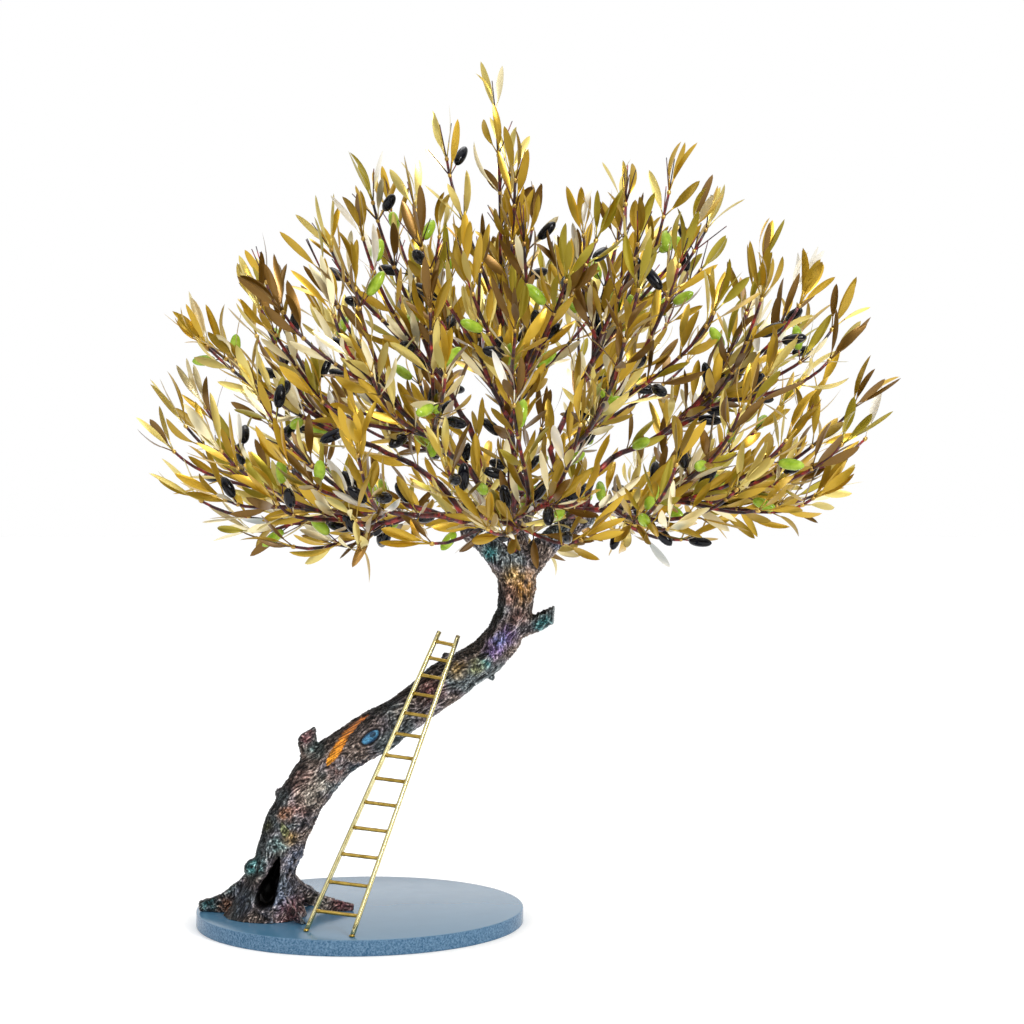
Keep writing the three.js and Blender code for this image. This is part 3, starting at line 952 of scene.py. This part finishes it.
STALK_RADII = (0.55 * MM, 0.45 * MM)
LEAF_LIFT = 0.3  # how strongly leaves turn upwards
LEAF_ROLL = 0.9  # how unevenly blades are rolled round their stalks, in radians
BLADE_LENGTH = (26 * MM, 38 * MM)
BLADE_WIDTH = (5.3 * MM, 7.8 * MM)
BLADE_STATIONS = 7
OVERHANG = 20 * MM  # how far past the CAD model's box a leaf may end
BARE_HEIGHT = 500 * MM  # above this some stalks are bare wires:
BARE_TWIST = 0.22  # those whose blade would be twisted by more than this
BARE_RADII = (0.55 * MM, 0.4 * MM)
FRUIT_SHARE = 0.5  # of the whorls
BLACK_SHARE = 0.62  # of the olives
FRUIT_LENGTH = (17.5 * MM, 21 * MM)
FRUIT_RADIUS = 4.6 * MM
BARE_FORK = 46 * MM  # no leaf grows closer to the fork than this


class Crown:
    """Grows wires from the boughs' ends to the surface of the masses, and dresses them."""

    def __init__(self, seed):
        self.rng = random.Random(seed)
        self.wires = Builder()
        self.solder = Builder()
        self.leaves = {tint: Builder() for tint in LEAF_TINTS}
        self.black = Builder()
        self.green = Builder()
        self.masses = sorted(n for n in NODES if n.startswith("foliage_"))
        boxes = [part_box(n) for n in self.masses]
        low = Vector([min(b[0][k] for b in boxes) for k in range(3)])
        high = Vector([max(b[1][k] for b in boxes) for k in range(3)])
        self.heart = Vector(((low.x + high.x) / 2, (low.y + high.y) / 2, TRUNK_LINE[0].z + 20 * MM))
        self.fork = TRUNK_LINE[0].copy()

    def jitter(self, size):
        return Vector([self.rng.uniform(-size, size) for _ in range(3)])

    # Leaves
    def leaf(self, root, way, up, tint):
        """A wire stalk and a narrow curved blade, folded a little along its middle, or a bare wire."""
        rng = self.rng
        stalk = rng.uniform(*STALK_LENGTH)
        length = rng.uniform(*BLADE_LENGTH)
        half = rng.uniform(*BLADE_WIDTH) / 2
        side = way.cross(up)
        side = side.normalized() if side.length > 1e-4 else way.orthogonal().normalized()
        side = Quaternion(way, rng.gauss(0, LEAF_ROLL)) @ side
        over = side.cross(way)
        bend = rng.uniform(-0.5, 0.9) / length
        fold = rng.uniform(0.08, 0.3)
        twist = rng.uniform(-0.5, 0.5)
        base = root + way * stalk
        if root.z > BARE_HEIGHT and twist > BARE_TWIST:
            tube(self.wires, [root, base + way * length * 0.6], BARE_RADII, 4)
            return
        vertices, faces = [], []
        for i in range(BLADE_STATIONS + 1):
            t = 1 - (1 - i / BLADE_STATIONS) ** 1.25
            angle = bend * length * t
            middle = base + way * (math.sin(angle) / bend) - over * ((1 - math.cos(angle)) / bend)
            lean = Quaternion(way, twist * t)
            out = lean @ side
            lift = lean @ over
            rise = math.sin(math.pi / 2 * min(1, 0.08 + t / 0.52))
            width = half * rise * max(0, 1 - max(0, (t - 0.45) / 0.55) ** 2.4) ** 0.7
            if i == BLADE_STATIONS:
                vertices.append(middle)
                continue
            edge = lift * width * fold
            vertices += [middle - out * width + edge, middle, middle + out * width + edge]
        for i in range(BLADE_STATIONS - 1):
            a, b = 3 * i, 3 * i + 3
            faces += [(a, b, b + 1, a + 1), (a + 1, b + 1, b + 2, a + 2)]
        a, tip = 3 * (BLADE_STATIONS - 1), 3 * BLADE_STATIONS
        faces += [(a, tip, a + 1), (a + 1, tip, a + 2)]
        low, high = CAD_BOX
        if all(low[k] - OVERHANG < vertices[tip][k] < high[k] + OVERHANG for k in range(3)):
            tube(self.leaves[tint], [root, base + way * length * 0.1], STALK_RADII, 4)
            self.leaves[tint].add(vertices, faces)

    def whorl(self, point, heading, count, spread, lead=False):
        """A ring of leaves round a wire. lead adds one leaf that goes straight on."""
        rng = self.rng
        names = list(LEAF_TINTS)
        weights = [LEAF_TINTS[n][1] for n in names]
        tint = rng.choices(names, weights)[0]
        side = heading.orthogonal().normalized()
        start = rng.uniform(0, 2 * math.pi)
        for k in range(count):
            angle = start + 2 * math.pi * (k + rng.uniform(-0.25, 0.25)) / count
            out = Quaternion(heading, angle) @ side
            tilt = math.radians(rng.uniform(*spread))
            way = heading * math.cos(tilt) + out * math.sin(tilt) + UP * LEAF_LIFT
            own = tint if rng.random() < 0.7 else rng.choices(names, weights)[0]
            self.leaf(point, way.normalized(), out, own)
        if lead:
            way = (heading + self.jitter(0.12)).normalized()
            self.leaf(point, way, side, tint)
        blob(self.solder, point, heading, 2.3 * MM, 1.75 * MM, rng)

    # Fruit
    def olive(self, root, way):
        """A slender pointed olive on a short stalk."""
        rng = self.rng
        builder = self.black if rng.random() < BLACK_SHARE else self.green
        length = rng.uniform(*FRUIT_LENGTH)
        stalk = rng.uniform(6, 13) * MM
        start = root + way * stalk
        tube(self.wires, [root, start + way * MM], [0.55 * MM, 0.5 * MM], 5)
        side = way.orthogonal().normalized()
        over = way.cross(side)
        rings, around = 10, 12
        vertices = [start]
        for i in range(1, rings):
            t = i / rings
            radius = FRUIT_RADIUS * math.sin(math.pi * t) ** 0.85 * (1 - 0.1 * t)
            middle = start + way * length * (1 - math.cos(math.pi * t)) / 2
            for k in range(around):
                angle = 2 * math.pi * k / around
                vertices.append(middle + side * radius * math.cos(angle) + over * radius * math.sin(angle))
        vertices.append(start + way * length * 1.03)
        faces = []
        for k in range(around):
            n = (k + 1) % around
            faces.append((0, 1 + n, 1 + k))
            for i in range(rings - 2):
                a, b = 1 + i * around, 1 + (i + 1) * around
                faces.append((a + k, a + n, b + n, b + k))
            last = 1 + (rings - 2) * around
            faces.append((last + k, last + n, len(vertices) - 1))
        builder.add(vertices, faces)

    # Wires
    def dress(self, points, first, spread=(22, 52)):
        """Whorls along a wire, the first at that distance, and now and then an olive."""
        rng = self.rng
        ahead = first
        for a, b in zip(points, points[1:]):
            step = (b - a).length
            while ahead < step:
                point = a.lerp(b, ahead / step)
                heading = (b - a).normalized()
                if (point - self.fork).length > BARE_FORK:
                    self.whorl(point, heading, rng.choice((3, 3, 4, 4, 5)), spread)
                if rng.random() < FRUIT_SHARE:
                    turn = Quaternion(heading, rng.uniform(0, 2 * math.pi))
                    out = turn @ heading.orthogonal().normalized()
                    self.olive(point, (heading * rng.uniform(0.3, 1.2) + out + UP * 0.2).normalized())
                ahead += rng.uniform(*NODE_SPACING)
            ahead -= step
        return ahead

    def wire(self, points, start, stop):
        count = len(points)
        radii = [start + (stop - start) * i / (count - 1) for i in range(count)]
        tube(self.wires, points, radii, 7)

    def grow(self, start, heading, radius, tips):
        """Splits towards the tips until each has its own wand, which sets out low and bends upwards."""
        rng = self.rng
        middle = sum(tips, Vector()) / len(tips)
        span = middle - start
        onward = span.normalized()
        lead = heading.normalized() + onward * 0.6 - UP * 0.15
        if len(tips) == 1:
            trail = onward + UP * rng.uniform(0.25, 0.85) + self.jitter(0.12)
            points = hermite(start, middle, lead, trail, max(4, int(span.length / (10 * MM))))
            self.wire(points, radius, WIRE_TIP)
            self.dress(points[:-1], rng.uniform(10, 24) * MM)
            ending = (points[-1] - points[-2]).normalized()
            self.whorl(points[-1], ending, rng.choice((3, 4, 4)), (14, 38), lead=True)
            return
        share = rng.uniform(0.17, 0.27)
        fork = start + span * share - UP * (0.05 * span.length) + self.jitter(3 * MM)
        fork.z = max(fork.z, LOWEST_TIP[0])
        points = hermite(start, fork, lead, onward + UP * 0.05, 4)
        thin = max(WIRE_TIP * 1.2, radius * 0.92)
        self.wire(points, radius, thin)
        self.dress(points, rng.uniform(8, 26) * MM)
        onward = (points[-1] - points[-2]).normalized()
        far = max(tips, key=lambda p: (p - middle).length)
        axis = far - max(tips, key=lambda p: (p - far).length)
        ordered = sorted(tips, key=lambda p: p.dot(axis))
        cut = len(ordered) // 2
        for group in (ordered[:cut], ordered[cut:]):
            self.grow(fork, onward, thin, group)

    def rounded(self, point):
        """The point moved towards the crown's own even surface, unless it is near the crown's top."""
        away = point - self.heart
        way = away.normalized()
        low, high = CROWN_REACH
        climb = float(smoothstep(way.z, -0.05, 0.3))
        reach = (low + (high - low) * climb) * math.hypot(way.x, way.y * CROWN_DEPTH, way.z)
        reach *= 1 + CROWN_LEAN * way.x
        share = ROUNDING * float(smoothstep(0.93 - way.z, 0, 0.12))
        return self.heart + way * (away.length * (1 - share) + reach * share)

    def tips_of(self, mass, taken):
        """Places near the mass's surface, kept apart from each other and from other masses' places."""
        rng = self.rng
        mesh = NODES[mass].data
        reach = max((v.co - self.heart).length for v in mesh.vertices)
        centres = [polygon.center.copy() for polygon in mesh.polygons]
        centres.sort(key=lambda p: -(p - self.heart).length * rng.uniform(0.88, 1.0))
        places = []
        for point in centres:
            away = point - self.heart
            if away.length < OUTER_SHARE * reach:
                break
            way = away.normalized()
            place = self.rounded(point) - way * (rng.uniform(*TIP_INSET) + RISE_INSET * max(0, way.z))
            place.z = max(place.z, rng.uniform(*LOWEST_TIP))
            if all((place - other).length > TIP_SPACING for other in taken):
                taken.append(place)
                places.append(place)
        return places

    def bough(self, name):
        """The CAD bough's centreline, from its limb outwards."""
        points = [v.co.copy() for v in NODES[name].data.vertices]
        mass = NODES[name.replace("bough", "foliage")].data
        goal = sum((v.co for v in mass.vertices), Vector()) / len(mass.vertices)
        points.sort(key=lambda p: -(p - goal).length)
        size = max(2, len(points) // 5)
        groups = [points[i : i + size] for i in range(0, len(points), size)]
        line = [sum(g, Vector()) / len(g) for g in groups if len(g) > 1]
        return line

    def build(self):
        taken = []
        for mass in self.masses:
            name = mass.replace("foliage", "bough")
            line = self.bough(name)
            root = line[0] - (line[1] - line[0]).normalized() * 4 * MM
            points = [root] + line
            self.wire(points, *BOUGH_RADII)
            self.dress(points[1:], self.rng.uniform(14, 30) * MM, (30, 60))
            tips = self.tips_of(mass, taken)
            if tips:
                self.grow(line[-1], (line[-1] - line[-2]).normalized(), BOUGH_RADII[1], tips)
        boughs = [m.replace("foliage", "bough") for m in self.masses]
        self.wires.piece("wires", wire_material(), "twig", boughs)
        dull = brass_material("solder", (0.62, 0.43, 0.12), (0.3, 0.17, 0.05), 0.25, 0.5)
        self.solder.piece("solder_knots", dull, "twig")
        for tint, (colour, _) in LEAF_TINTS.items():
            material = leaf_material(f"leaf_{tint}", colour)
            self.leaves[tint].piece(f"leaves_{tint}", material, "foliage", self.masses)
        black = fruit_material("olive_black", (0.0008, 0.0008, 0.0012), (0.002, 0.003, 0.008))
        green = fruit_material("olive_green", (0.17, 0.30, 0.012), (0.38, 0.52, 0.05))
        self.black.piece("olives_black", black, "foliage")
        self.green.piece("olives_green", green, "foliage")


make_camera()
make_studio()
make_floor()
make_plate()
make_ladder()
make_bark()
Crown(seed=7).build()
